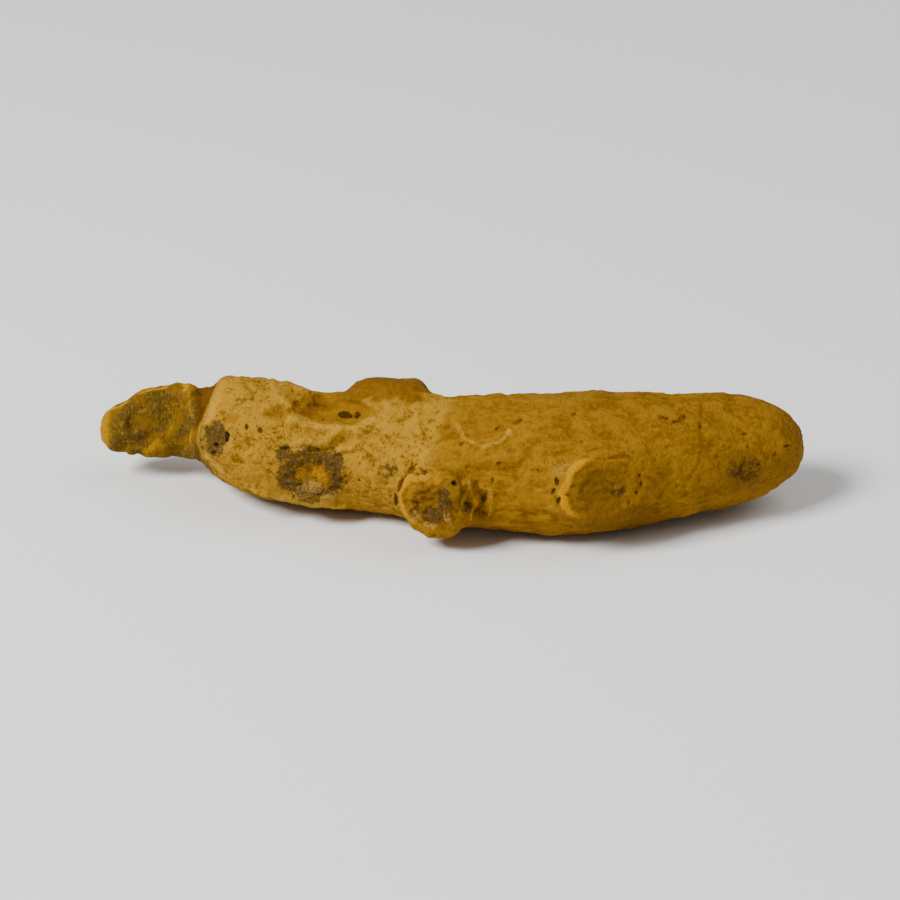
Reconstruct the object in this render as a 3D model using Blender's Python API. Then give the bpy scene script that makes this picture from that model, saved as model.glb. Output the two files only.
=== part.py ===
"""A dried turmeric root: one stout, slightly bowed finger lying on a surface.

Its left end is a round head with a broken-off stub behind it. Side fingers have broken away
along it and left knobs and round scars. Where it rests, its underside is worn flat.

Frame: +X runs along the finger to its smooth tip, +Y points away from the viewer, +Z up.
The origin is on the surface, under the middle of the root.
"""

import math

import bmesh
import bpy
import numpy as np
from mathutils import Vector, noise

MM = 0.001

# The finger, in millimetres. Stations run from the head to the tip, each giving the place of
# the middle line (along, back, up) and the girth's radius before the ends are rounded off.
FINGER_STATIONS = (
    (-31.6, 7.0, 8.8, 6.9),
    (-27.6, 8.4, 8.7, 6.9),
    (-24.4, 8.2, 8.5, 7.05),
    (-21.0, 6.9, 7.9, 7.3),
    (-16.5, 6.4, 7.0, 6.9),
    (-11.5, 5.7, 7.05, 7.0),
    (-4.0, 3.4, 7.8, 7.5),
    (3.5, 1.3, 8.1, 7.8),
    (10.5, 0.4, 8.35, 8.4),
    (16.0, 0.5, 8.4, 8.5),
    (22.0, 1.9, 8.4, 7.9),
    (28.0, 3.7, 8.0, 7.4),
    (33.0, 5.2, 7.8, 7.0),
    (37.8, 6.4, 7.6, 6.9),
    (43.0, 7.1, 7.0, 6.9),
)
HEAD_ROUNDING = 6.2
HEAD_FULLNESS = 0.62
TIP_ROUNDING = 12.2
TIP_FULLNESS = 0.50
FINGER_RINGS = 96
FINGER_SIDES = 48

# The stub of the broken-off rhizome behind the head, from inside the head to its broken tip.
STUB_STATIONS = (
    (-23.0, 9.8, 8.6, 3.6),
    (-27.5, 11.2, 8.6, 4.4),
    (-31.0, 11.8, 8.0, 4.7),
    (-34.0, 12.0, 7.9, 4.8),
    (-37.0, 11.9, 7.5, 4.5),
    (-39.6, 11.6, 6.95, 3.8),
    (-41.8, 11.4, 6.5, 3.0),
    (-43.0, 11.3, 6.4, 2.2),
)
STUB_DEPTH_SHARE = 0.98
BREAK_STARTS = -30.5
BREAK_FULL = -33.5
BREAK_FLATTENING = 0.75
STUB_RINGS = 34
STUB_SIDES = 28

# Knobs and scars where side fingers grew. Along is a place on the finger, bearing the
# direction round it in degrees (0 faces the viewer, 90 up), lean its tilt to the head.
# Long and across are half sizes of the face, and stand-out is the face above the skin.
KNOBS = (
    dict(along=0.4, bearing=-6.5, lean=5.0, long=4.1, across=4.5, stand_out=2.8, dish=0.5),
    dict(along=16.6, bearing=6.0, lean=-4.0, long=5.1, across=3.7, stand_out=0.7, dish=0.35),
    dict(along=-15.5, bearing=4.0, lean=0.0, long=4.1, across=3.6, stand_out=0.5, dish=0.3),
    dict(along=-28.0, bearing=19.0, lean=35.0, long=2.5, across=2.8, stand_out=0.9, dish=0.3),
    dict(along=33.5, bearing=6.0, lean=0.0, long=1.7, across=2.1, stand_out=0.4, dish=0.2),
    dict(along=-6.2, bearing=117.0, lean=-8.0, long=5.3, across=4.2, stand_out=1.2, dish=-0.4),
    dict(along=8.5, bearing=171.0, lean=-6.0, long=4.4, across=3.8, stand_out=0.8, dish=0.4),
    dict(along=25.5, bearing=196.0, lean=-14.0, long=3.3, across=3.0, stand_out=1.9, dish=0.4),
    dict(along=4.6, bearing=224.0, lean=0.0, long=3.3, across=2.7, stand_out=2.0, dish=0.35),
    dict(along=-20.5, bearing=206.0, lean=10.0, long=2.8, across=2.5, stand_out=0.6, dish=0.3),
)
KNOB_SIDES = 26
KNOB_RAGGED = 0.14
KNOB_RAGGED_SPACING = 1.7

# A knob's half profile, from its sunk root to the middle of its face. Each pair is a height and
# the share of the face's half sizes there. Heights are shares of the root's depth below the
# skin, then of the stand-out above the skin, then of the dish below the rim.
KNOB_ROOT_DEPTH = 3.5
KNOB_ROOT_PROFILE = ((1.0, 0.95), (0.30, 1.30))
KNOB_SIDE_PROFILE = ((0.15, 1.16), (0.60, 1.03), (0.90, 0.97), (1.0, 0.82))
KNOB_FACE_PROFILE = ((0.6, 0.62), (1.0, 0.30), (1.0, 0.08))

# Uneven growth: broad swellings of the skin, as a share of the radius, and their spacing.
SWELL_SHARE = 0.06
SWELL_SPACING = 9.0
SWELL_OFFSET = Vector((3.1, 7.7, 1.9))

TANGENT_STEP = 0.4

# The finger and its growths share one skin of this grain, softened where they meet, and the
# underside is worn off by this much where it rests.
SKIN_GRAIN = 1.08
SKIN_SMOOTHING = 3
SKIN_SMOOTHING_FACTOR = 0.5
WORN_FLAT = 0.2

SKIN_COLOUR = (0.36, 0.19, 0.018, 1.0)
SKIN_ROUGHNESS = 0.82


def clear_scene():
    """Removes every object that is in the scene."""
    for obj in list(bpy.data.objects):
        bpy.data.objects.remove(obj, do_unlink=True)


def through(stations, where):
    """Values of a smooth curve through the stations at the places in where."""
    table = np.array(sorted(stations), float)
    knots, values = table[:, 0], table[:, 1:]
    slopes = np.gradient(values, knots, axis=0)
    where = np.clip(np.asarray(where, float), knots[0], knots[-1])
    left = np.clip(np.searchsorted(knots, where, side="right") - 1, 0, len(knots) - 2)
    span = knots[left + 1] - knots[left]
    t = ((where - knots[left]) / span)[..., None]
    step = span[..., None]
    return (
        (2 * t**3 - 3 * t**2 + 1) * values[left]
        + (t**3 - 2 * t**2 + t) * step * slopes[left]
        + (3 * t**2 - 2 * t**3) * values[left + 1]
        + (t**3 - t**2) * step * slopes[left + 1]
    )


def middle_line(stations, along):
    """The middle line's point at a place along it."""
    back, up, _ = through(stations, along)
    return Vector((along, back, up))


def direction_at(stations, along):
    """The unit direction of the middle line towards the tip."""
    ahead = middle_line(stations, along + TANGENT_STEP)
    behind = middle_line(stations, along - TANGENT_STEP)
    return (ahead - behind).normalized()


def outward(tangent, bearing):
    """The unit direction square to the tangent, at a bearing in radians: 0 front, quarter turn up."""
    front = Vector((0, -1, 0))
    front = (front - tangent * front.dot(tangent)).normalized()
    up = tangent.cross(front) * (1 if tangent.cross(front).z > 0 else -1)
    return front * math.cos(bearing) + up * math.sin(bearing)


def swelling(point):
    """The uneven growth at a point, as a factor on the radius."""
    return 1 + SWELL_SHARE * noise.noise(point / SWELL_SPACING + SWELL_OFFSET)


def rounding(distance, length, fullness):
    """How much of the girth is left at a distance from a rounded end."""
    inside = max(0.0, 1 - distance / length)
    return max(0.0, 1 - inside**2) ** fullness


def finger_radius(along):
    """The finger's radius at a place along it, with both ends rounded off."""
    girth = through(FINGER_STATIONS, along)[2]
    head = rounding(along - FINGER_STATIONS[0][0], HEAD_ROUNDING, HEAD_FULLNESS)
    tip = rounding(FINGER_STATIONS[-1][0] - along, TIP_ROUNDING, TIP_FULLNESS)
    return girth * head * tip


def loft(name, rings, material):
    """A closed solid through rings of points in millimetres, bridged one to the next."""
    bm = bmesh.new()
    loops = []
    for ring in rings:
        corners = [bm.verts.new(point * MM) for point in ring]
        edges = [bm.edges.new((a, b)) for a, b in zip(corners, corners[1:] + corners[:1])]
        loops.append((corners, edges))
    for (_, first), (_, second) in zip(loops, loops[1:]):
        bmesh.ops.bridge_loops(bm, edges=first + second)
    for corners in (loops[0][0], loops[-1][0]):
        bm.faces.new(corners)
    bmesh.ops.recalc_face_normals(bm, faces=bm.faces)
    mesh = bpy.data.meshes.new(name)
    bm.to_mesh(mesh)
    bm.free()
    mesh.materials.append(material)
    obj = bpy.data.objects.new(name, mesh)
    bpy.context.scene.collection.objects.link(obj)
    return obj


def finger_rings():
    """Rings round the finger, closer together towards its rounded ends."""
    low, high = FINGER_STATIONS[0][0], FINGER_STATIONS[-1][0]
    rings = []
    for i in range(1, FINGER_RINGS):
        along = (low + high) / 2 - (high - low) / 2 * math.cos(math.pi * i / FINGER_RINGS)
        centre = middle_line(FINGER_STATIONS, along)
        tangent = direction_at(FINGER_STATIONS, along)
        radius = finger_radius(along)
        ring = []
        for side in range(FINGER_SIDES):
            spoke = outward(tangent, 2 * math.pi * side / FINGER_SIDES)
            ring.append(centre + spoke * radius * swelling(centre + spoke * radius))
        rings.append(ring)
    return rings


def stub_rings():
    """Rings round the stub. Past the break its front is flat, where it snapped off."""
    low, high = STUB_STATIONS[-1][0], STUB_STATIONS[0][0]
    rings = []
    for i in range(STUB_RINGS + 1):
        along = high + (low - high) * math.sin(math.pi / 2 * i / STUB_RINGS)
        centre = middle_line(STUB_STATIONS, along)
        tangent = direction_at(STUB_STATIONS, along)
        radius = through(STUB_STATIONS, along)[2]
        broken = min(1.0, max(0.0, (BREAK_STARTS - along) / (BREAK_STARTS - BREAK_FULL)))
        ring = []
        for side in range(STUB_SIDES):
            bearing = 2 * math.pi * side / STUB_SIDES
            spoke = outward(tangent, bearing)
            depth = math.cos(bearing) * STUB_DEPTH_SHARE
            if depth > 0:
                depth *= 1 - BREAK_FLATTENING * broken
            across = Vector((0, -depth * radius, math.sin(bearing) * radius))
            across -= tangent * across.dot(tangent)
            ring.append(centre + across * swelling(centre + spoke * radius))
        rings.append(ring)
    return rings


def knob_rings(knob):
    """Rings of one knob: sunk root, flared foot, upright side, rounded rim and dished face."""
    along, stand_out, dish = knob["along"], knob["stand_out"], knob["dish"]
    tangent = direction_at(FINGER_STATIONS, along)
    square = outward(tangent, math.radians(knob["bearing"]))
    lean = math.radians(knob["lean"])
    axis = square * math.cos(lean) - tangent * math.sin(lean)
    long_way = (tangent - axis * tangent.dot(axis)).normalized()
    across_way = axis.cross(long_way)
    skin = middle_line(FINGER_STATIONS, along) + square * finger_radius(along)
    profile = [(-KNOB_ROOT_DEPTH * height, share) for height, share in KNOB_ROOT_PROFILE]
    profile += [(stand_out * height, share) for height, share in KNOB_SIDE_PROFILE]
    profile += [(stand_out - dish * height, share) for height, share in KNOB_FACE_PROFILE]
    rings = []
    for height, share in profile:
        ring = []
        for side in range(KNOB_SIDES):
            turn = 2 * math.pi * side / KNOB_SIDES
            offset = long_way * knob["long"] * math.cos(turn) + across_way * knob["across"] * math.sin(turn)
            ragged = 1 + KNOB_RAGGED * noise.noise((skin + offset) / KNOB_RAGGED_SPACING)
            ring.append(skin + axis * height + offset * share * ragged)
        rings.append(ring)
    return rings


def grown_together(finger, growths, material):
    """The finger with its growths joined into one skin, as one mesh object."""
    holder = bpy.data.collections.new("growths")
    bpy.context.scene.collection.children.link(holder)
    for growth in growths:
        bpy.context.scene.collection.objects.unlink(growth)
        holder.objects.link(growth)
    union = finger.modifiers.new("join_growths", "BOOLEAN")
    union.operation = "UNION"
    union.solver = "EXACT"
    union.operand_type = "COLLECTION"
    union.collection = holder
    remesh = finger.modifiers.new("one_skin", "REMESH")
    remesh.mode = "VOXEL"
    remesh.voxel_size = SKIN_GRAIN * MM
    smooth = finger.modifiers.new("soften_joins", "SMOOTH")
    smooth.factor = SKIN_SMOOTHING_FACTOR
    smooth.iterations = SKIN_SMOOTHING
    graph = bpy.context.evaluated_depsgraph_get()
    mesh = bpy.data.meshes.new_from_object(finger.evaluated_get(graph))
    mesh.materials.clear()
    mesh.materials.append(material)
    for growth in growths:
        bpy.data.objects.remove(growth, do_unlink=True)
    bpy.data.collections.remove(holder)
    bpy.data.objects.remove(finger, do_unlink=True)
    root = bpy.data.objects.new("turmeric_root", mesh)
    bpy.context.scene.collection.objects.link(root)
    return root


def rest_on_surface(root):
    """Wears the underside flat where it rests, and puts the origin under the middle of the root."""
    mesh = root.data
    low = min(vertex.co.z for vertex in mesh.vertices)
    bm = bmesh.new()
    bm.from_mesh(mesh)
    bmesh.ops.translate(bm, vec=(0, 0, -low - WORN_FLAT * MM), verts=bm.verts)
    everything = bm.verts[:] + bm.edges[:] + bm.faces[:]
    bmesh.ops.bisect_plane(bm, geom=everything, plane_co=(0, 0, 0), plane_no=(0, 0, -1), clear_outer=True)
    rim = [edge for edge in bm.edges if edge.is_boundary]
    bmesh.ops.holes_fill(bm, edges=rim, sides=0)
    bmesh.ops.recalc_face_normals(bm, faces=bm.faces)
    xs = [vertex.co.x for vertex in bm.verts]
    ys = [vertex.co.y for vertex in bm.verts]
    middle = Vector(((min(xs) + max(xs)) / 2, (min(ys) + max(ys)) / 2, 0))
    bmesh.ops.translate(bm, vec=-middle, verts=bm.verts)
    bm.to_mesh(mesh)
    bm.free()
    mesh.shade_smooth()


def skin_material():
    """Dusty mustard-yellow skin."""
    material = bpy.data.materials.new("turmeric_skin")
    material.use_nodes = True
    shader = material.node_tree.nodes["Principled BSDF"]
    shader.inputs["Base Color"].default_value = SKIN_COLOUR
    shader.inputs["Roughness"].default_value = SKIN_ROUGHNESS
    shader.inputs["Metallic"].default_value = 0.0
    return material


def main():
    clear_scene()
    skin = skin_material()
    finger = loft("finger", finger_rings(), skin)
    growths = [loft("stub", stub_rings(), skin)]
    growths += [loft(f"knob_{i}", knob_rings(knob), skin) for i, knob in enumerate(KNOBS)]
    rest_on_surface(grown_together(finger, growths, skin))


main()
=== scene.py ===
"""The looks of a dried turmeric root: its wrinkled, dusty skin, its knobs and scars, and a studio.

The root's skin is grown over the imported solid. Places and sizes on the root are in millimetres.
X runs along the root from its broken stub to its tip, the viewer looks along +Y, and +Z is up.
"""

import math

import bmesh
import bpy
import numpy as np
from bpy.props import FloatProperty, FloatVectorProperty, IntProperty, PointerProperty
from bpy.types import Operator, Panel, PropertyGroup
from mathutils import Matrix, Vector, noise
from mathutils.bvhtree import BVHTree


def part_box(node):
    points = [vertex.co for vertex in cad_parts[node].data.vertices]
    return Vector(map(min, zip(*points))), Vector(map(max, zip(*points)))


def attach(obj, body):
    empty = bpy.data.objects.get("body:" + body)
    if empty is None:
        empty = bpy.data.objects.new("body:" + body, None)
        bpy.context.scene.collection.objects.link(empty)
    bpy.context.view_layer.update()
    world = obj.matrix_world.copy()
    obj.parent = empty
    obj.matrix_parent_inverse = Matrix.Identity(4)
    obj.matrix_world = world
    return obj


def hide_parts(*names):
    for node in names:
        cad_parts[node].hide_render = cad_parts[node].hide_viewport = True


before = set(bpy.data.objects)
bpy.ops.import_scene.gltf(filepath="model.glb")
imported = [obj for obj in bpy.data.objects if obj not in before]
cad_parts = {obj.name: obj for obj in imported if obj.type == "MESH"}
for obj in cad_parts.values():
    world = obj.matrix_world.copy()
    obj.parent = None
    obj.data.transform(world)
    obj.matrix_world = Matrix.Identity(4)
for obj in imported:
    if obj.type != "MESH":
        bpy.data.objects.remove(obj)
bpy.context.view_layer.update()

bl_info = {
    "name": "Dried Turmeric Root",
    "version": (1, 0, 0),
    "blender": (4, 5, 0),
    "location": "View3D > Sidebar > Turmeric",
    "description": "Grows a dried turmeric root's skin over its solid and sets a pale studio round it",
    "category": "Object",
}

MM = 0.001
SOLID = "turmeric_root"
LOW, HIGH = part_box(SOLID)

# The view, from which the places of the scars in front are measured.
VIEW_ELEVATION = math.radians(28.0)
VIEW_DISTANCE = 400.0
VIEW_BACK = np.array((0.0, -math.cos(VIEW_ELEVATION), math.sin(VIEW_ELEVATION)))
VIEW_RIGHT = np.array((1.0, 0.0, 0.0))
VIEW_UP = np.array((0.0, math.sin(VIEW_ELEVATION), math.cos(VIEW_ELEVATION)))
MIDDLE = np.array((LOW + HIGH) / 2) / MM

# The draw of the wandering noise, which the clock would set otherwise.
WANDER_SEED = 1

# Scars and knobs. One in front has its place seen from the view, right of and above the middle
# of the root. One behind has its place along the root and its bearing round it in degrees, where
# 0 faces the viewer and 90 is up. half is its half length and half height. rim, rings, foot and
# lumps are heights, and dish and crease are depths. A bearing on the scar's face starts at the
# tip's side and turns up: rim_at is where its rim is highest and brightest, with yellow that is
# partly a painted highlight, and crease_at where the crease round it is deepest and most darkened
# with painted shade. The higher rim_reach is, the shorter the rim. ragged and turn say how much its
# edge wanders, and in which way. brown, cork and glow are how strongly each colour
# shows, yellow_and_highlight_width is how wide the yellow line with its painted highlight on the
# rim is, and cork covers the face from cork_from to cork_to, as shares of its radius.
PLAIN_SCAR = dict(
    rim=0.12, rim_at=180.0, rim_reach=-0.10, ragged=0.05, turn=0.0,
    dish=0.25, rings=0.04, crease=0.2, crease_at=180.0, foot=0.3, lumps=0.15,
    brown=0.5, cork=0.6, cork_from=-1.0, cork_to=0.9, glow=0.0, yellow_and_highlight_width=0.11,
)
SCARS = (
    dict(name="head_scar", seen=(-28.2, 1.3), half=(1.75, 2.6), turn=0.3,
         dish=0.35, rings=0.0, crease=0.15, crease_at=-20.0, foot=0.1, lumps=0.34, cork=0.72),
    dict(name="flat_scar", seen=(-16.6, -3.0), half=(4.0, 3.7), rim=0.08, rim_at=90.0, turn=1.1,
         dish=0.15, crease=0.10, crease_at=100.0, foot=0.1, lumps=0.42,
         brown=0.6, cork=0.60, cork_from=0.50, cork_to=1.02),
    dict(name="front_knob", seen=(-2.3, -6.5), half=(3.8, 4.1), rim=0.16, rim_at=175.0, turn=2.2,
         dish=0.0, crease=0.80, crease_at=160.0, foot=0.75, lumps=0.32,
         brown=0.62, cork=0.12, cork_to=0.90, glow=1.2, yellow_and_highlight_width=0.085),
    dict(name="broad_knob", seen=(18.6, -4.6), half=(5.2, 4.2), rim=0.16, rim_at=172.0,
         rim_reach=0.20, ragged=0.02, turn=0.8, dish=0.20, rings=0.06, crease=0.15, foot=0.45,
         lumps=0.06, brown=0.45, cork=0.15, cork_to=0.35, glow=1.2, yellow_and_highlight_width=0.085),
    dict(name="tip_scar", seen=(35.4, -2.4), half=(2.4, 2.5), rim=0.03, turn=1.9,
         dish=0.14, rings=0.0, crease=0.05, foot=0.0, lumps=0.16, brown=0.8, cork=0.40, cork_to=0.75),
    dict(name="back_scar", round=(9.4, 171.0), half=(4.3, 3.6), rim=0.16, rim_at=60.0, turn=2.7,
         dish=0.30, rings=0.06, crease=0.35, crease_at=40.0, foot=0.35, lumps=0.12,
         brown=0.7, cork_to=0.45, glow=0.6),
    dict(name="back_knob", round=(23.1, 196.0), half=(3.2, 2.9), rim=0.22, turn=0.1,
         dish=0.30, crease=0.6, crease_at=190.0, foot=0.6, lumps=0.24,
         brown=0.8, cork=0.8, cork_to=0.8, glow=0.8),
    dict(name="low_knob", round=(6.2, 222.0), half=(3.2, 2.6), rim_at=90.0, turn=1.5,
         dish=0.2, crease=0.35, crease_at=90.0, lumps=0.18, cork=0.7, glow=0.3),
    dict(name="back_head_scar", round=(-19.9, 208.0), half=(2.8, 2.5), turn=2.0,
         dish=0.2, crease=0.15, crease_at=0.0, foot=0.1, lumps=0.22,
         cork=0.9, cork_from=0.35, cork_to=1.0),
)

# Marks whose places show from the view, by what they are painted with: right and above, their half
# length and half height, how many degrees they are turned, how strongly they show, and how deep
# they are sunk.
MARKS = {
    # Crevice marks: dark pits, holes and cracks, and painted shade in the creases beside the knobs.
    "crevice": (
        (-12.6, 4.25, 0.75, 0.38, -8.0, 1.0, 1.0), (-11.15, 4.25, 0.42, 0.36, 0.0, 0.8, 0.6),
        (-24.4, 2.75, 0.25, 0.42, 0.0, 0.9, 0.25), (-22.75, 2.4, 0.28, 0.42, 20.0, 0.9, 0.25),
        (-19.9, 0.25, 0.7, 0.2, 0.0, 0.9, 0.3), (-24.75, -1.6, 0.25, 0.2, 0.0, 0.4, 0.15),
        (-26.75, 1.6, 0.26, 0.65, 0.0, 1.0, 0.4), (-28.1, 0.6, 0.32, 0.26, 0.0, 1.0, 0.3),
        (-28.4, -0.3, 0.3, 0.25, 0.0, 0.9, 0.3), (-11.9, -2.75, 0.2, 0.2, 0.0, 0.5, 0.15),
        (-10.9, -1.6, 0.25, 0.2, 0.0, 0.5, 0.1), (0.6, -4.0, 0.5, 0.3, -30.0, 1.0, 0.7),
        (-4.7, -2.4, 0.6, 0.3, 45.0, 0.8, 0.15), (-6.1, -4.4, 0.26, 1.0, -25.0, 1.0, 0.35),
        (-6.5, -6.0, 0.24, 0.8, 2.0, 0.9, 0.30), (2.1, -6.4, 0.4, 0.3, 0.0, 0.5, 0.25),
        (4.25, -5.7, 0.24, 0.7, -12.0, 0.6, 0.3), (12.8, -3.8, 0.2, 0.55, 15.0, 1.0, 0.4),
        (12.4, -4.9, 0.28, 0.4, -20.0, 0.8, 0.3), (13.0, -6.1, 0.2, 0.5, -15.0, 1.0, 0.35),
        (22.8, -3.1, 0.22, 0.35, -20.0, 0.6, 0.2), (23.0, -4.1, 0.2, 0.4, 10.0, 0.6, 0.2),
        (22.4, -5.1, 0.3, 0.3, 0.0, 0.6, 0.2), (19.6, -5.2, 0.3, 0.22, 0.0, 0.5, 0.1),
        (15.0, 4.3, 0.4, 0.25, 0.0, 0.5, 0.15), (25.9, 3.9, 0.5, 0.14, -15.0, 0.6, 0.08),
        (27.0, 3.4, 0.35, 0.13, 20.0, 0.6, 0.08), (28.1, 4.0, 0.3, 0.14, 60.0, 0.6, 0.08),
        (8.4, 3.6, 0.5, 0.14, 25.0, 0.6, 0.08), (35.4, 1.9, 0.3, 0.25, 0.0, 0.5, 0.15),
        (37.1, -1.7, 0.35, 0.3, 0.0, 0.5, 0.15), (40.5, 0.5, 0.7, 0.18, 8.0, 0.5, 0.2),
        (35.0, -2.4, 0.15, 1.2, 5.0, 0.4, 0.08), (36.0, -2.2, 0.15, 1.0, -5.0, 0.3, 0.08),
    ),
    "russet": (
        (-11.9, 4.2, 1.0, 0.3, 0.0, 0.6, 0.3), (-16.9, 4.7, 1.5, 0.7, 5.0, 0.50, 0.15),
        (-27.25, 4.5, 0.5, 0.5, 0.0, 0.6, 0.1), (-16.75, -2.5, 0.3, 0.35, 0.0, 1.0, 0.15),
        (-2.9, -5.7, 1.2, 0.9, 0.0, 0.6, 0.0), (-4.1, -6.3, 0.5, 0.6, 0.0, 0.8, 0.1),
        (3.6, -7.4, 0.9, 0.4, -20.0, 0.6, 0.1), (20.2, -0.8, 1.3, 0.25, 8.0, 1.0, 0.14),
        (8.1, 3.5, 0.9, 0.4, 25.0, 0.58, 0.1), (7.3, -0.1, 0.8, 0.5, 0.0, 0.5, 0.1),
        (0.2, 2.6, 1.0, 0.8, 0.0, 0.4, 0.05), (25.6, 3.9, 0.8, 0.4, -10.0, 0.75, 0.1),
        (26.7, 3.3, 0.5, 0.3, 20.0, 0.45, 0.05), (27.9, 3.8, 0.5, 0.5, 0.0, 0.75, 0.1),
        (33.4, 5.0, 1.1, 0.9, 0.0, 0.45, 0.05), (29.6, -5.6, 0.8, 0.3, 10.0, 0.5, 0.05),
    ),
    "amber": (
        (-26.2, 3.8, 1.0, 0.6, 10.0, 0.7, 0.0), (-21.0, 4.4, 1.2, 0.8, 0.0, 0.4, 0.0),
        (4.4, 2.6, 1.9, 1.3, 0.0, 0.4, 0.22),
    ),
    "cork": (
        (-29.0, 1.4, 0.9, 1.7, 0.0, 0.7, 0.05), (-20.0, -0.4, 0.9, 1.0, 0.0, 0.8, 0.05),
        (-13.6, -1.6, 0.8, 1.5, 0.0, 0.8, 0.05), (-1.9, -7.8, 1.5, 1.0, 10.0, 0.62, 0.12),
        (-0.6, -6.2, 0.9, 1.7, 15.0, 0.60, 0.10), (-4.3, -7.4, 0.6, 0.8, -30.0, 0.6, 0.05),
        (-7.3, -2.2, 1.3, 1.0, 30.0, 0.45, 0.1), (2.0, -6.8, 0.9, 0.8, 0.0, 0.32, 0.0),
        (20.2, -5.0, 1.0, 0.7, 10.0, 0.35, 0.03),
    ),
    "stain": (
        (-16.6, -3.0, 3.9, 3.6, 0.0, 0.55, 0.0), (18.8, -5.4, 4.2, 3.2, 0.0, 0.35, 0.0),
        (20.0, -4.9, 2.1, 1.5, 10.0, 0.75, 0.04), (35.2, -2.4, 2.3, 2.4, 0.0, 0.9, 0.0),
        (-0.7, -5.8, 1.7, 2.3, 15.0, 0.6, 0.0),
    ),
    "bright": (
        (-15.7, -2.7, 0.9, 1.0, 20.0, 1.0, -0.05), (-14.9, -4.0, 0.5, 0.9, 0.0, 0.8, 0.0),
        (-17.8, -2.5, 0.8, 0.6, 0.0, 0.45, 0.0), (-1.9, -3.6, 1.3, 0.7, 10.0, 0.7, -0.10),
        (-4.6, -5.0, 0.7, 1.0, -35.0, 0.5, 0.0), (3.0, -6.0, 0.6, 0.8, 0.0, 0.7, -0.15),
    ),
    "ash": (
        (-16.8, -4.7, 2.0, 1.0, 10.0, 0.75, -0.15), (-14.6, -5.6, 1.0, 0.5, 20.0, 0.6, 0.0),
        (-18.0, 0.2, 0.35, 0.3, 0.0, 1.0, -0.1), (-4.1, -8.0, 0.9, 0.8, 0.0, 0.6, -0.1),
        (-2.4, -9.0, 1.0, 0.6, 0.0, 0.5, 0.0), (-0.4, -8.0, 0.4, 1.0, 20.0, 0.7, -0.15),
        (13.1, -2.2, 1.6, 0.9, 20.0, 0.35, 0.0),
    ),
    # The long brown mark below the broad knob is painted shade.
    "brown": (
        (2.6, -5.6, 2.2, 1.9, 0.0, 0.55, 0.0), (20.5, -8.3, 4.8, 1.8, 10.0, 1.0, 0.0),
    ),
}

# Folds of the skin, seen from the view: the points they run through, right and above, their half
# width, and their height, which is below 0 for a furrow. All heights are scaled by the strength.
# A fold's top is painted by its height with pale dust and a painted highlight, and every furrow
# alike with painted shade.
FOLD_STRENGTH = 1.6
CREST_PAINT = 3.2
FURROW_SHADE = 0.31
FOLDS = (
    (((-21.3, 8.2), (-20.8, 6.4), (-19.2, 5.2)), 0.55, 0.22),
    (((-20.0, 7.7), (-17.2, 6.9), (-14.0, 6.5), (-10.6, 5.9), (-8.6, 5.0)), 0.50, 0.26),
    (((-18.6, 5.6), (-16.6, 5.6), (-14.6, 5.2)), 0.35, -0.18),
    (((-17.0, 3.8), (-14.8, 3.8), (-13.6, 3.5)), 0.30, 0.14),
    (((1.2, -3.9), (1.7, -5.6), (0.9, -7.6)), 0.34, -0.18),
    (((2.3, -4.2), (3.0, -6.0), (2.3, -8.0)), 0.42, 0.22),
    (((3.4, -4.0), (3.9, -6.0), (3.6, -7.9)), 0.28, -0.18),
    (((4.8, -4.6), (5.1, -6.2), (4.8, -7.6)), 0.40, 0.14),
    (((-19.6, 4.0), (-17.0, 2.9), (-13.7, 2.6), (-11.2, 2.8), (-9.0, 3.7)), 0.50, 0.34),
    (((-19.0, 2.6), (-16.5, 1.9), (-14.6, 2.2)), 0.35, -0.14),
    (((-17.8, 0.9), (-15.6, 0.8), (-14.2, 1.6), (-12.9, 2.1)), 0.40, 0.40),
    (((-16.6, 0.0), (-14.6, 0.0), (-13.1, 0.9), (-11.8, 1.6)), 0.32, -0.34),
    (((-13.9, -0.3), (-12.6, 0.4), (-11.6, 0.3)), 0.40, 0.32),
    (((-11.2, 2.7), (-9.0, 2.0), (-7.2, 1.3), (-5.8, 0.4)), 0.30, -0.20),
    (((-10.4, 0.9), (-8.6, 0.2), (-7.4, -0.9)), 0.35, -0.12),
    (((-4.0, 4.4), (-3.6, 2.4), (-3.1, -0.6), (-3.8, -2.2)), 0.45, 0.16),
    (((-6.9, 5.6), (-5.2, 5.4), (-4.4, 4.4), (-5.6, 3.8)), 0.30, -0.14),
    (((0.9, 2.6), (1.7, 1.2), (3.4, 0.4), (5.6, 0.7), (7.2, 2.0)), 0.45, 0.20),
    (((-23.6, -4.6), (-20.6, -5.6), (-16.8, -6.4), (-12.6, -6.6)), 0.40, 0.22),
    (((-22.6, -5.6), (-19.0, -6.8), (-14.0, -7.3)), 0.30, -0.20),
    (((-24.2, 8.0), (-23.3, 7.2), (-23.4, 6.0)), 0.30, -0.18),
    (((-26.4, -3.4), (-24.8, -4.4), (-22.0, -4.9)), 0.35, 0.16),
    (((3.0, -7.6), (6.5, -7.2), (10.5, -7.6), (13.0, -8.2)), 0.30, -0.16),
    (((3.6, -4.6), (6.6, -4.8), (9.6, -4.4), (11.6, -4.9)), 0.35, 0.13),
    (((2.0, -2.0), (5.0, -2.6), (9.0, -2.2), (12.0, -2.8)), 0.30, -0.12),
    (((24.0, -3.2), (25.4, -5.0), (24.6, -7.0)), 0.45, -0.06),
)

# The worn rings' places along the root, and their heights.
RINGS = (
    (-25.2, 0.10), (-20.4, 0.08), (-9.3, 0.08), (-1.4, 0.17), (5.6, 0.07),
    (11.0, 0.08), (24.6, 0.08), (29.4, 0.10), (33.4, 0.09), (37.4, 0.11),
)

# Ring marks of rootlets that show from the view, right and above.
ROOTLET_MARKS = ((17.2, 5.1), (-27.2, 4.5), (-3.6, 7.3))

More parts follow.
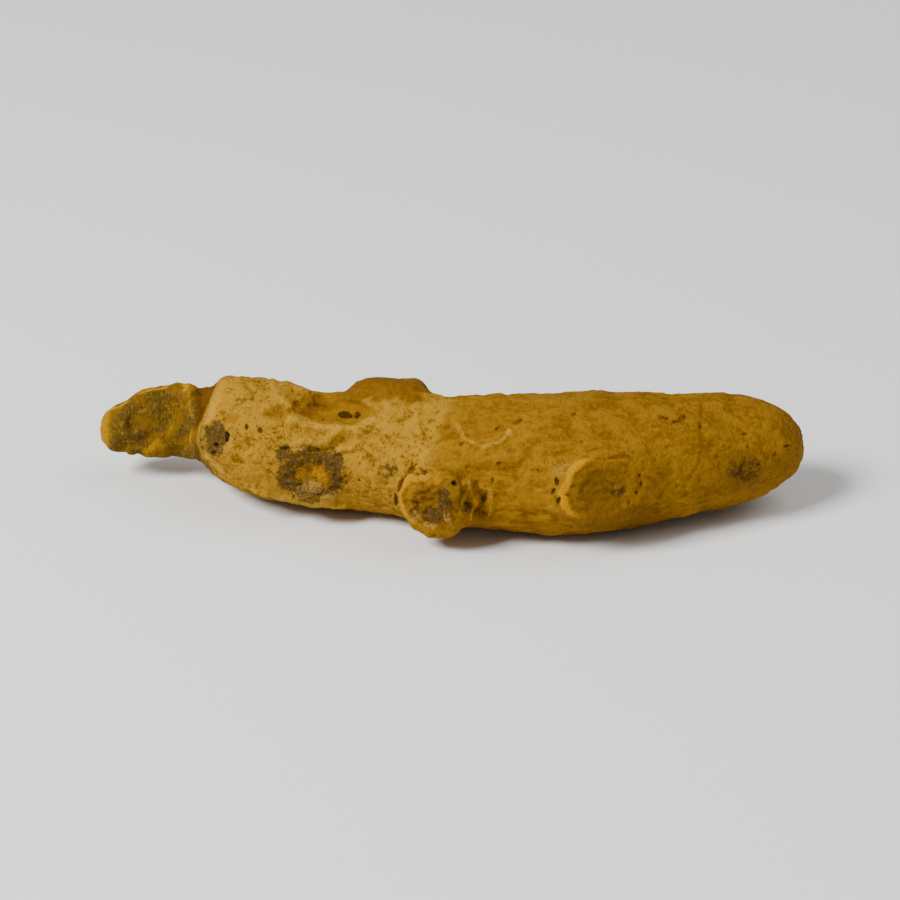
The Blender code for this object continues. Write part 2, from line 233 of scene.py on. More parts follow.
# The orange hollow and the bump on top, seen from the view: the middle, half sizes and slope of
# the dent, of the hollow's smooth skin and of the bump's.
HOLLOW_DENT = ((-14.4, 4.9), (5.2, 2.0), 0.06)
HOLLOW_SKIN = ((-13.4, 5.236), (6.7, 2.4), 0.06)
BUMP_SKIN = ((-8.0, 7.8), (6.4, 2.9), 0.0)
HOLLOW_DEPTH = 0.6

# The bump on top: its middle and half sizes, where it swells on the tip's side, and where the skin
# sinks beside it.
BUMP_TOP = (-6.4, 4.4, 15.2)
BUMP_TOP_HALF = (7.4, 5.4, 3.2)
BUMP_SHOULDER = (-4.0, 4.4, 15.2)
BUMP_SHOULDER_HALF = (2.2, 4.0, 3.0)
BUMP_SHOULDER_HEIGHT = 0.5
BUMP_END = (-0.8, 4.2, 14.6)
BUMP_END_HALF = (2.7, 5.0, 4.0)
BUMP_END_DEPTH = 0.8

# The head's edge over the stub's neck, seen from the view: how far above, and how far right.
HEAD_EDGE_ABOVE = (-2.5, -0.9, 1.0, 2.6, 4.8, 7.9, 10.0)
HEAD_EDGE_RIGHT = (-28.2, -29.7, -30.3, -30.1, -29.2, -27.9, -27.4)

# The stub's broken face, seen from the view: its left end, the left end of the neck behind it, the
# ends of its diagonal ridge, and the upright post at its right, which leans as it rises.
STUB_LEFT = -42.1
NECK_LEFT = -30.3
RIDGE_START = np.array((-36.7, -0.8))
RIDGE_END = np.array((-32.8, 3.9))
POST_RIGHT = -30.7
POST_LEAN = 0.10

# The face's hollows: the middle, half length and half height of each, and its depth.
STUB_HOLLOWS = (((-32.2, 2.4), (1.2, 1.7), 0.80), ((-34.0, 5.2), (1.6, 1.5), 0.40))

# Where the thick dust ends along the root, and how that edge leans and wanders.
DUST_END = -2.6
DUST_END_LEAN = 0.28
DUST_END_WANDER = 1.1

# The studio, in metres.
KEY_PLACE = (-0.40, -0.26, 0.49)
KEY_SIZE = 0.24
FILL_PLACE = (0.40, 0.04, 0.56)
FILL_SIZE = 0.60


def rise(values, low, high):
    """A smooth step from 0 at low to 1 at high."""
    share = np.clip((values - low) / (high - low), 0.0, 1.0)
    return share * share * (3 - 2 * share)


def bump(values, middle, width):
    """A smooth bump of height 1 at the middle, falling off over the width."""
    return np.exp(-(((values - middle) / width) ** 2))


def noise_at(points, spacing, shift=0.0, drawn_out=1.0):
    """Smooth noise, about -1 to 1, of this spacing, drawn out along X."""
    scale = np.array((1 / (spacing * drawn_out), 1 / spacing, 1 / spacing))
    return np.array([noise.noise(place) for place in (points * scale + shift).tolist()])


def warp_at(points, spacing, reach, shift=0.0):
    """A smooth wandering of up to the reach, of this spacing."""
    places = (points / spacing + shift).tolist()
    return reach * np.array([noise.noise_vector(place) for place in places])


class FineMesh:
    """The skin's mesh as arrays in millimetres, with what is painted on its vertices."""

    def __init__(self, mesh):
        self.mesh = mesh
        self.count = len(mesh.vertices)
        self.points = self.read("vertices", "co", 3) / MM
        self.edges = np.empty(len(mesh.edges) * 2, np.int32)
        mesh.edges.foreach_get("vertices", self.edges)
        self.edges = self.edges.reshape(-1, 2)
        self.near = np.bincount(self.edges.ravel(), minlength=self.count)
        self.paint = {}
        self.face_outward()

    def read(self, group, name, width):
        """One attribute of a group of the mesh's elements, as a row for each."""
        items = getattr(self.mesh, group)
        flat = np.empty(len(items) * width, np.float32)
        items.foreach_get(name, flat)
        return flat.reshape(-1, width).astype(float)

    def face_outward(self):
        """Works out each vertex's outward direction, and a broader one without the small relief."""
        self.outward = self.read("vertex_normals", "vector", 3)
        broad = self.spread(self.outward, 6)
        self.broad = broad / np.linalg.norm(broad, axis=1, keepdims=True)

    def spread(self, values, rounds):
        """The values averaged with those of their neighbours, a number of times over."""
        values = np.atleast_2d(values.T).T
        first, second = self.edges.T
        for _ in range(rounds):
            columns = []
            for column in values.T:
                total = np.bincount(first, column[second], self.count)
                total += np.bincount(second, column[first], self.count)
                columns.append((column + total / self.near) / 2)
            values = np.array(columns).T
        return values

    def move(self, steps):
        """Moves the vertices and keeps the mesh above the surface that it lies on."""
        self.points = self.points + steps
        self.points[:, 2] = np.maximum(self.points[:, 2], 0.0)
        self.mesh.vertices.foreach_set("co", (self.points * MM).astype(np.float32).ravel())
        self.mesh.update()
        self.face_outward()

    def push(self, heights):
        """Moves each vertex outward by its height."""
        self.move(self.broad * heights[:, None])

    def add_paint(self, name, amount):
        """Adds to a painted layer, where the stronger paint wins."""
        layer = self.paint.get(name, np.zeros(self.count))
        self.paint[name] = np.maximum(layer, np.clip(amount, 0.0, 1.0))

    def save_paint(self):
        """Writes the painted layers to the mesh as attributes."""
        for name, amount in self.paint.items():
            layer = self.mesh.attributes.new(name, "FLOAT", "POINT")
            layer.data.foreach_set("value", amount.astype(np.float32))


class Place:
    """A place on the skin, with its outward direction and two directions along the skin."""

    def __init__(self, centre, outward):
        self.centre = np.array(centre, float)
        self.outward = np.array(outward, float) / np.linalg.norm(outward)
        lengthwise = VIEW_RIGHT - self.outward * VIEW_RIGHT.dot(self.outward)
        self.lengthwise = lengthwise / np.linalg.norm(lengthwise)
        self.around = np.cross(self.outward, self.lengthwise)
        if self.around[2] < 0:
            self.around = -self.around


def skin_tree(fine):
    """A tree that finds where a ray meets the skin."""
    faces = [tuple(face.vertices) for face in fine.mesh.polygons]
    return BVHTree.FromPolygons(fine.points.tolist(), faces)


def hit_place(fine, tree, start, direction, reach):
    """The place where a ray meets the skin, facing as the skin round it does, within the reach."""
    spot = tree.ray_cast(Vector(start), Vector(direction))[0]
    if spot is None:
        raise RuntimeError(f"a ray from {start} misses the root")
    gap = np.linalg.norm(fine.points - np.array(spot), axis=1)
    weight = np.exp(-((gap / reach) ** 2))
    return Place(spot, (fine.outward * weight[:, None]).sum(0))


def seen_place(fine, tree, right, above, reach=1.5):
    """The place on the skin that the view shows right of and above its middle."""
    start = MIDDLE + VIEW_BACK * VIEW_DISTANCE
    aim = MIDDLE + VIEW_RIGHT * right + VIEW_UP * above
    return hit_place(fine, tree, start, (aim - start) / np.linalg.norm(aim - start), reach)


def round_place(fine, tree, along, bearing, reach=1.5):
    """The place on the skin at a distance along the root and a bearing round it, in degrees."""
    band = np.abs(fine.points[:, 0] - along) < 1.0
    core = np.append(along, (fine.points[band].min(0) + fine.points[band].max(0))[1:] / 2)
    turn = math.radians(bearing)
    away = np.array((0.0, -math.cos(turn), math.sin(turn)))
    return hit_place(fine, tree, core + away * 40.0, -away, reach)


def scar_places(fine):
    """The place of every scar, by its name."""
    tree = skin_tree(fine)
    places = {}
    for scar in SCARS:
        reach = min(scar["half"]) * 0.7
        if "seen" in scar:
            places[scar["name"]] = seen_place(fine, tree, *scar["seen"], reach)
        else:
            places[scar["name"]] = round_place(fine, tree, *scar["round"], reach)
    return places


def seen_offsets(points):
    """How far right of and above the middle the view shows each point."""
    away = points - MIDDLE
    depth = 1 - away @ VIEW_BACK / VIEW_DISTANCE
    return away @ VIEW_RIGHT / depth, away @ VIEW_UP / depth


def on_face(points, place, half, turn):
    """Each point's share of the way to a ragged rim, bearing on the face, and height over it."""
    away = points - place.centre
    along = away @ place.lengthwise / half[0]
    across = away @ place.around / half[1]
    bearing = np.arctan2(across, along)
    ragged = 0.05 * np.sin(2 * bearing + turn) + 0.04 * np.sin(3 * bearing + 2.1 * turn)
    ragged += 0.025 * np.sin(5 * bearing + 3.7 * turn) + 0.015 * np.sin(9 * bearing + 5.3 * turn)
    return np.hypot(along, across) / (1 + ragged), bearing, away @ place.outward


def sharpen_knobs(fine, places):
    """Gives each standing knob an overhanging rim and a pinched foot, as dried growths have."""
    steps = np.zeros_like(fine.points)
    for scar in ({**PLAIN_SCAR, **scar} for scar in SCARS):
        place = places[scar["name"]]
        share, bearing, height = on_face(fine.points, place, scar["half"], scar["turn"])
        away = fine.points - place.centre
        flat = away - np.outer(away @ place.outward, place.outward)
        flat /= np.maximum(np.linalg.norm(flat, axis=1, keepdims=True), 0.01)
        side = 0.45 + 0.55 * rise(np.cos(bearing - math.radians(scar["crease_at"])), -0.4, 0.9)
        ring = rise(share, 0.55, 0.85) * (1 - rise(share, 1.2, 1.7))
        bulge = 0.5 * scar["foot"] * bump(height, -0.5, 0.7) * ring
        pinch = 0.8 * scar["foot"] * bump(height, -2.2, 0.8) * ring * side
        steps += flat * (bulge - pinch)[:, None]
    fine.move(steps)


def snap_stub(fine):
    """Roughens the stub's broken face, sinks the neck behind it and raises the head's edge."""
    right, above = seen_offsets(fine.points)
    facing = rise(fine.broad @ VIEW_BACK, 0.05, 0.45)
    stub = 1 - rise(right, -31.0, -29.8)
    lumps = 0.62 * noise_at(fine.points, 1.7, 4.0) + 0.28 * noise_at(fine.points, 0.8, 9.0)
    along, gap = ridge_offsets(fine, right, above)
    spine = rise(along, -0.12, 0.1) * (1 - 0.75 * rise(along, 0.3, 1.1)) * (1 - rise(along, 1.0, 1.2))
    ridge = 0.55 * bump(gap, 0.0, np.where(gap < 0, 1.7, 0.75)) * spine
    post = 0.55 * post_share(right, above, 0.55)
    lumps = lumps * stub * (1 - 0.7 * np.clip(ridge + post, 0.0, 0.6) / 0.6)
    relief = lumps + ridge + post
    for (x, y), (half_long, half_high), depth in STUB_HOLLOWS:
        relief -= depth * bump(right, x, half_long) * bump(above, y, half_high)
    fine.push(relief * facing)
    front = rise(fine.broad @ VIEW_BACK, -0.2, 0.5)
    past_edge = past_head_edge(right, above)
    neck = rise(right - NECK_LEFT, -0.3, 0.3) * (1 - rise(past_edge, -0.5, 0.15))
    neck *= rise(above, -2.0, 0.2)
    brow = bump(past_edge, 0.6, 0.6)
    fine.push((-0.90 * neck + 0.40 * brow) * (0.35 + 0.65 * front))


def ridge_offsets(fine, right, above):
    """How far along the stub's wandering ridge a seen point is, as a share, and how far off it."""
    run = RIDGE_END - RIDGE_START
    length = np.linalg.norm(run)
    away_right, away_above = right - RIDGE_START[0], above - RIDGE_START[1]
    along = (away_right * run[0] + away_above * run[1]) / length**2
    gap = (away_above * run[0] - away_right * run[1]) / length
    return along, gap + 0.5 * noise_at(fine.points, 1.8, 13.0)


def post_share(right, above, width):
    """How near seen points are to the upright post at the right of the stub's face, up to 1."""
    return bump(right + POST_LEAN * above, POST_RIGHT, width) * rise(above, 2.8, 4.6)


def past_head_edge(right, above):
    """How far seen points are past the head's edge, on the head's side."""
    return right - np.interp(above, HEAD_EDGE_ABOVE, HEAD_EDGE_RIGHT)


def oval_share(right, above, oval):
    """How far seen points are from a sloping oval's middle, as a share of the way to its edge."""
    (x, y), (half_long, half_high), slope = oval
    return np.hypot((right - x) / half_long, (above - y - slope * (right - x)) / half_high)


def solid_oval_share(fine, middle, half):
    """How far the skin is from a middle, as a share of the way to an oval solid's surface."""
    return np.linalg.norm((fine.points - middle) / half, axis=1)


def path_gap(right, above, path):
    """How far seen points are from the nearest point of a path."""
    gap = np.full(len(right), 1e6)
    for (x, y), (next_x, next_y) in zip(path, path[1:]):
        run_x, run_y = next_x - x, next_y - y
        share = ((right - x) * run_x + (above - y) * run_y) / (run_x**2 + run_y**2)
        share = np.clip(share, 0.0, 1.0)
        gap = np.minimum(gap, np.hypot(right - x - share * run_x, above - y - share * run_y))
    return gap


def mark_share(right, above, mark):
    """How far seen points are from a mark's middle, as a share of the way to its edge."""
    x, y, half_long, half_high, turn = mark
    turn = math.radians(turn)
    along = (right - x) * math.cos(turn) + (above - y) * math.sin(turn)
    across = (above - y) * math.cos(turn) - (right - x) * math.sin(turn)
    return np.hypot(along / half_long, across / half_high)


def mark_skin(fine):
    """Sinks the marks and raises the folds whose places show from the view, and paints them."""
    right, above = seen_offsets(fine.points)
    front = rise(fine.broad @ VIEW_BACK, 0.0, 0.25)
    ragged = 0.22 * noise_at(fine.points, 0.7, 15.0)
    heights = np.zeros(fine.count)
    for layer, marks in MARKS.items():
        for *mark, strength, depth in marks:
            share = mark_share(right, above, mark) + ragged
            heights -= depth * (1 - rise(share, 0.2, 1.2)) * front
            fine.add_paint(layer, strength * (1 - rise(share, 0.55, 1.35)) * front)
    wander = warp_at(fine.points, 1.8, 0.45, 16.0)
    for path, width, height in FOLDS:
        gap = path_gap(right + wander[:, 0], above + wander[:, 2], path)
        fold = bump(gap, 0.0, width) * front
        heights += FOLD_STRENGTH * height * fold
        if height > 0:
            # Pale dust on the fold's top, partly a painted highlight.
            fine.add_paint("crest", min(1.0, CREST_PAINT * height) * fold)
        else:
            # Painted shade along the furrow.
            fine.add_paint("crevice", FURROW_SHADE * fold)
    fine.push(heights)


def dent_hollow(fine):
    """Sinks the orange hollow beside the bump on top."""
    right, above = seen_offsets(fine.points)
    front = rise(fine.broad @ VIEW_BACK, 0.0, 0.3)
    share = oval_share(right, above, HOLLOW_DENT) + 0.45 * noise_at(fine.points, 2.6, 18.0)
    fine.push(-HOLLOW_DEPTH * (1 - rise(share, 0.2, 1.3)) * front)


def steepen_bump(fine):
    """Makes the bump on top end in a full shoulder and a steep side, towards the tip."""
    swell = solid_oval_share(fine, BUMP_SHOULDER, BUMP_SHOULDER_HALF)
    beside = solid_oval_share(fine, BUMP_END, BUMP_END_HALF)
    heights = BUMP_SHOULDER_HEIGHT * (1 - rise(swell, 0.2, 1.1))
    fine.push(heights - BUMP_END_DEPTH * (1 - rise(beside, 0.2, 1.1)))


def grow_unevenly(fine, depth):
    """Broad unevenness of a thing that shrank as it dried."""
    heights = 0.42 * noise_at(fine.points, 6.5, 1.0, 1.7) + 0.20 * noise_at(fine.points, 3.0, 5.0, 1.5)
    fine.push(depth * heights)


def close_mesh(name, source, grain):
    """A new mesh object over the source, remeshed evenly to the grain in millimetres."""
    made = bpy.data.objects.new(name, source.data.copy())
    bpy.context.scene.collection.objects.link(made)
    remesh = made.modifiers.new("even_grain", "REMESH")
    remesh.mode = "VOXEL"
    remesh.voxel_size = grain * MM
    remesh.use_smooth_shade = True
    graph = bpy.context.evaluated_depsgraph_get()
    mesh = bpy.data.meshes.new_from_object(made.evaluated_get(graph))
    made.modifiers.clear()
    made.data = mesh
    made.data.name = name
    return made


def soften(fine, rounds):
    """Smooths the steps that the remesh leaves."""
    fine.move(fine.spread(fine.points, rounds) - fine.points)


def wrinkle_skin(fine, sizes, places):
    """Shrivels the skin: crinkles all over, streaks along it, rings round it, and rough scars."""
    right, above = seen_offsets(fine.points)
    along = fine.points[:, 0]
    smooth = smooth_share(fine, right, above)
    spacing = sizes.wrinkle_spacing / MM
    wandered = fine.points + warp_at(fine.points, 2.6, 0.9, 3.0)
    crinkle = np.abs(noise_at(wandered, spacing, 0.0, 1.3))
    crinkle += 0.35 * np.abs(noise_at(wandered, spacing * 0.5, 7.0, 1.2))
    streak = np.abs(noise_at(wandered, spacing * 0.8, 12.0, 4.5))
    lumpy = 0.5 * noise_at(wandered, spacing * 1.9, 17.0, 1.3)
    to_tip = rise(along, -3.0, 6.0) * (1 - rise(along, 30.0, 38.0))
    rough = 0.55 + 0.45 * noise_at(fine.points, 7.0, 31.0)
    wrinkle = crinkle * (1 - 0.35 * to_tip) + streak * 0.75 * to_tip + lumpy - 0.28
    wrinkle *= (1 - 0.7 * smooth) * (0.7 + 0.6 * rough) * (1 - 0.3 * rise(along, 28.0, 38.0))
    heights = wrinkle * sizes.wrinkle_depth / MM + ring_heights(fine, along, smooth)
    for scar in SCARS:
        scar = {**PLAIN_SCAR, **scar}
        rim, relief = scar_heights(fine, scar, places[scar["name"]])
        heights = heights * (1 - 0.8 * rim) + relief
    fine.paint["ridge"] = np.clip(0.5 + 0.8 * wrinkle, 0.0, 1.0)
    fine.push(heights)


def smooth_share(fine, right, above):
    """How smooth the skin is: the orange hollow, and the bump on top beside it."""
    front = rise(fine.broad @ VIEW_BACK, -0.1, 0.3)
    wander = 0.40 * noise_at(fine.points, 2.0, 19.0) + 0.25 * noise_at(fine.points, 0.9, 21.0)
    hollow = oval_share(right, above, HOLLOW_SKIN) + wander
    hollow = (1 - rise(hollow, 0.55, 1.2)) * front
    top_bump = solid_oval_share(fine, BUMP_TOP, BUMP_TOP_HALF) + wander
    top_bump = (1 - rise(top_bump, 0.80, 1.1)) * rise(fine.points[:, 1], 0.2, 1.6)
    seen_bump = oval_share(right, above, BUMP_SKIN) + wander
    top_bump = np.maximum(top_bump, (1 - rise(seen_bump, 0.62, 1.12)) * front)
    fine.add_paint("amber", np.maximum(hollow, 0.9 * top_bump))
    # Painted shade: brown over the bump on top darkens it.
    fine.add_paint("brown", 0.75 * top_bump)
    return 0.7 * np.maximum(hollow, 0.6 * top_bump)


def ring_heights(fine, along, smooth):
    """Low worn rings round the finger, where its leaves once grew."""
    bearing = np.arctan2(fine.points[:, 2] - 8.0, -fine.points[:, 1])
    heights = np.zeros(fine.count)
    marks = np.zeros(fine.count)
    wander = 0.9 * noise_at(fine.points, 4.0, 6.0) + 0.3 * noise_at(fine.points, 1.3, 8.0)
    for index, (middle, height) in enumerate(RINGS):
        gap = along - middle - 0.9 * np.sin(bearing + 1.7 * index) - wander
        strength = rise(noise_at(fine.points, 5.0, 20.0 + index), -0.35, 0.4)
        heights += height * strength * (bump(gap, -0.5, 0.6) - 0.9 * bump(gap, 0.35, 0.35))
        # Painted shade along each ring's groove.
        marks = np.maximum(marks, 1.6 * height * strength * bump(gap, 0.3, 0.35))
    fine.add_paint("crevice", marks * (1 - smooth))
    return heights * (1 - smooth)


def scar_heights(fine, scar, place):
    """One scar's relief, which it also paints."""
    share, bearing, height = on_face(fine.points, place, scar["half"], scar["turn"])
    share = share + scar["ragged"] * noise_at(fine.points, 1.0, scar["turn"])
    near = bump(height, 0.0, 2.4) * (fine.outward @ place.outward > -0.3)
    inside = (1 - rise(share, 0.80, 1.0)) * near
    rim_side = rise(np.cos(bearing - math.radians(scar["rim_at"])), scar["rim_reach"], 0.90)
    crease_side = rise(np.cos(bearing - math.radians(scar["crease_at"])), 0.0, 0.9)
    broken = rise(noise_at(fine.points, 1.5, 5.0 + scar["turn"]), -0.45, 0.15)
    rim = bump(share, 0.92, 0.11) * near * (0.25 + 0.75 * rim_side)
    crease = bump(share, 1.12, 0.065) * near * crease_side * broken
    lumps = np.abs(noise_at(fine.points, 1.0, 2.0 + scar["turn"]))
    lumps += 0.5 * noise_at(fine.points, 0.55, 4.0)
    rings = np.cos(2 * math.pi * share * 3.2) * (1 - rise(share, 0.7, 0.9)) * near
    band = rise(share, scar["cork_from"] - 0.25, scar["cork_from"] + 0.15)
    band *= 1 - rise(share, scar["cork_to"] - 0.30, scar["cork_to"] + 0.22)
    fine.add_paint("cork", scar["cork"] * band * near)
    fine.add_paint("brown", scar["brown"] * inside)
    # The yellow line on the rim, partly a painted highlight.
    fine.add_paint("glow", scar["glow"] * bump(share, 0.95, scar["yellow_and_highlight_width"]) * near * rim_side)
    # Painted shade in the crease round the scar.
    fine.add_paint("crevice", crease * min(1.0, scar["crease"] * 2.0))
    heights = scar["rim"] * rim - scar["dish"] * inside * (1 - 0.6 * rise(share, 0.3, 0.85))
    heights += scar["rings"] * rings + scar["lumps"] * (lumps - 0.3) * inside
    return bump(share, 1.0, 0.22) * near, heights - 0.8 * scar["crease"] * crease


def pit_skin(fine, sizes):
    """Pricks small pits all over, most of them drawn out, and the ring marks that rootlets left."""
    chance = np.random.default_rng(sizes.pit_seed)
    heights = np.zeros(fine.count)
    for spot in chance.integers(0, fine.count, sizes.pit_count):
        radius, depth = chance.uniform(0.14, 0.34), chance.uniform(0.05, 0.18)
        drawn_out = chance.uniform(1.0, 2.4)
        slant = chance.normal(0, 1, 3)
        slant -= fine.outward[spot] * slant.dot(fine.outward[spot])
        slant /= np.linalg.norm(slant)
        away = fine.points - fine.points[spot]
        near = np.linalg.norm(away, axis=1) < radius * drawn_out * 2.5
        lengthwise = away[near] @ slant
        sideways = np.sqrt(np.maximum((away[near] ** 2).sum(1) - lengthwise**2, 0.0))
        gap = np.hypot(lengthwise / drawn_out, sideways)
        heights[near] -= depth * bump(gap, 0.0, radius)
        # Half the pits are painted dark, partly as painted shade, and the rest russet.
        layer = "crevice" if chance.uniform() < 0.5 else "russet"
        spread = np.zeros(fine.count)
        spread[near] = chance.uniform(0.25, 0.7) * bump(gap, 0.0, radius)
        fine.add_paint(layer, spread)
    tree = skin_tree(fine)
    marks = [seen_place(fine, tree, right, above).centre for right, above in ROOTLET_MARKS]
    marks += [fine.points[spot] for spot in chance.integers(0, fine.count, sizes.rootlet_count)]
    for centre in marks:
        radius = chance.uniform(0.6, 0.85)
        gap = np.linalg.norm(fine.points - centre, axis=1)
        near = gap < radius * 3
        part = rise(noise_at(fine.points[near], 1.0, radius * 40), -0.5, 0.3)
        heights[near] += 0.10 * bump(gap[near], radius, 0.24) * part - 0.12 * bump(gap[near], 0.0, 0.3)
        dark = np.zeros(fine.count)
        dark[near] = 0.35 * bump(gap[near], radius * 1.35, 0.24) * part
        dark[near] += 0.6 * bump(gap[near], 0.0, 0.25)
        fine.add_paint("russet", dark)
    fine.push(heights)


def dust_and_break(fine):
    """Paints dust, the broken face with yellow ridges, painted neck shade and head-edge highlight."""
    right, above = seen_offsets(fine.points)
    facing = fine.broad @ VIEW_BACK
    wander = DUST_END_WANDER * noise_at(fine.points, 4.5, 30.0)
    dust_end = DUST_END + DUST_END_LEAN * (above + 2.0) + wander
    to_tip = rise(fine.points[:, 0] - dust_end, -0.8, 1.0)
    up = rise(fine.broad[:, 2], -0.7, 0.6)
    dust = (1 - 0.77 * to_tip) * (0.5 + 0.5 * up)
    past_edge = past_head_edge(right, above)
    stub = 1 - rise(past_edge, -0.4, 0.0)
    fine.add_paint("dust", dust * (1 - 0.85 * stub) * (1 - 0.6 * fine.paint["amber"]))
    fine.add_paint("broken", stub * rise(-fine.broad[:, 1], 0.15, 0.5))
    along, gap = ridge_offsets(fine, right, above)
    ridge = 0.62 * bump(gap, 0.0, np.where(gap < 0, 1.3, 0.6))
    ridge *= rise(along, -0.12, 0.1) * (1 - 0.6 * rise(along, 0.3, 1.1))
    ridge *= 1 - rise(along, 0.9, 1.2)
    post = 0.45 * post_share(right, above, 0.45)
    # The yellow of the ridge and the post, partly a painted highlight.
    fine.add_paint("glow", np.maximum(ridge, post) * rise(facing, 0.1, 0.4) * stub)
    # The yellow rim of the broken face, thickest at its left end, partly a painted highlight.
    rim = 0.9 * bump(-fine.broad[:, 1], 0.12, 0.20) * rise(noise_at(fine.points, 2.2, 23.0), -0.35, 0.3)
    rim += 1.5 * bump(right, STUB_LEFT, 1.1)
    fine.add_paint("glow", rim * rise(facing, -0.1, 0.2) * stub)
    # A painted highlight along the head's lit edge over the neck.
    fine.add_paint("crest", 0.9 * bump(past_edge, 0.7, 0.5) * rise(facing, 0.1, 0.5))
    # Painted shade in the neck between the stub and the head.
    neck = rise(right - NECK_LEFT, -0.6, 0.1) * (1 - rise(past_edge, -0.35, 0.1))
    neck *= rise(above, -2.4, -0.6)
    fine.add_paint("shade", neck * rise(facing, -0.5, 0.1))


class Shade:
    """A shader's output, on which Python's own arithmetic adds Math nodes."""

    def __init__(self, bench, output):
        self.bench = bench
        self.output = output

    def maths(self, operation, *values):
        """A Math node of this operation on the values."""
        return self.bench.add("ShaderNodeMath", {"operation": operation}, dict(enumerate(values)))

    def __add__(self, other):
        return self.maths("ADD", self, other)

    def __radd__(self, other):
        return self.maths("ADD", other, self)

    def __sub__(self, other):
        return self.maths("SUBTRACT", self, other)

    def __rsub__(self, other):
        return self.maths("SUBTRACT", other, self)

    def __mul__(self, other):
        return self.maths("MULTIPLY", self, other)

    def __rmul__(self, other):
        return self.maths("MULTIPLY", other, self)

    def __abs__(self):
        return self.maths("ABSOLUTE", self)

    def between(self, low, high):
        """A smooth step from 0 at low to 1 at high."""
        ends = {"Value": self, "From Min": low, "From Max": high}
        return self.bench.add("ShaderNodeMapRange", {"interpolation_type": "SMOOTHSTEP"}, ends)


class SkinBench:
    """Adds nodes to a material and links them."""

    MIX_FACTOR, MIX_FIRST, MIX_SECOND, MIX_RESULT = 0, 6, 7, 2

    def __init__(self, material):
        self.tree = material.node_tree
        self.coordinates = self.add("ShaderNodeTexCoord", output="Object")

    def add(self, kind, settings=None, sockets=None, output=0):
        """Adds a node with its settings, then the values or links of its sockets."""
        node = self.tree.nodes.new(kind)
        for name, value in (settings or {}).items():
            setattr(node, name, value)
        for name, value in (sockets or {}).items():
            if isinstance(value, Shade):
                self.tree.links.new(value.output, node.inputs[name])
            else:
                node.inputs[name].default_value = value
        return Shade(self, node.outputs[output])

    def painted(self, name):
        """A layer painted on the mesh."""
        return self.add("ShaderNodeAttribute", {"attribute_name": name}, output="Fac")

    def mix(self, share, first, second):
        """The first colour turning to the second as the share goes from 0 to 1."""
        colours = {self.MIX_FACTOR: share, self.MIX_FIRST: first, self.MIX_SECOND: second}
        return self.add("ShaderNodeMix", {"data_type": "RGBA"}, colours, self.MIX_RESULT)

    def stretched(self, along):
        """The skin's coordinates with X drawn out by this much."""
        scale = {0: self.coordinates, 1: (1 / along, 1.0, 1.0)}
        return self.add("ShaderNodeVectorMath", {"operation": "MULTIPLY"}, scale)

    def mottle(self, spacing, detail=3.0, rough=0.55, distortion=0.0, along=1.0):
        """Noise from 0 to 1 with features of this spacing in millimetres."""
        sockets = {
            "Vector": self.stretched(along),
            "Scale": 1 / (spacing * MM),
            "Detail": detail,
            "Roughness": rough,
            "Distortion": distortion,
        }
        return self.add("ShaderNodeTexNoise", {"noise_dimensions": "3D"}, sockets)

    def blotches(self, layer, sharpness=1.0, spacing=0.62):
        """A painted layer broken up into ragged blotches."""
        fine = self.mottle(spacing, 4.0, 0.68, 0.7)
        coarse = self.mottle(spacing * 2.6, 3.0, 0.6, 0.5)
        paint = self.painted(layer)
        ragged = paint + (fine - 0.5) * (1.9 * sharpness) + (coarse - 0.5) * (0.9 * sharpness)
        return ragged.between(0.22, 0.78) * paint.between(0.0, 0.3)


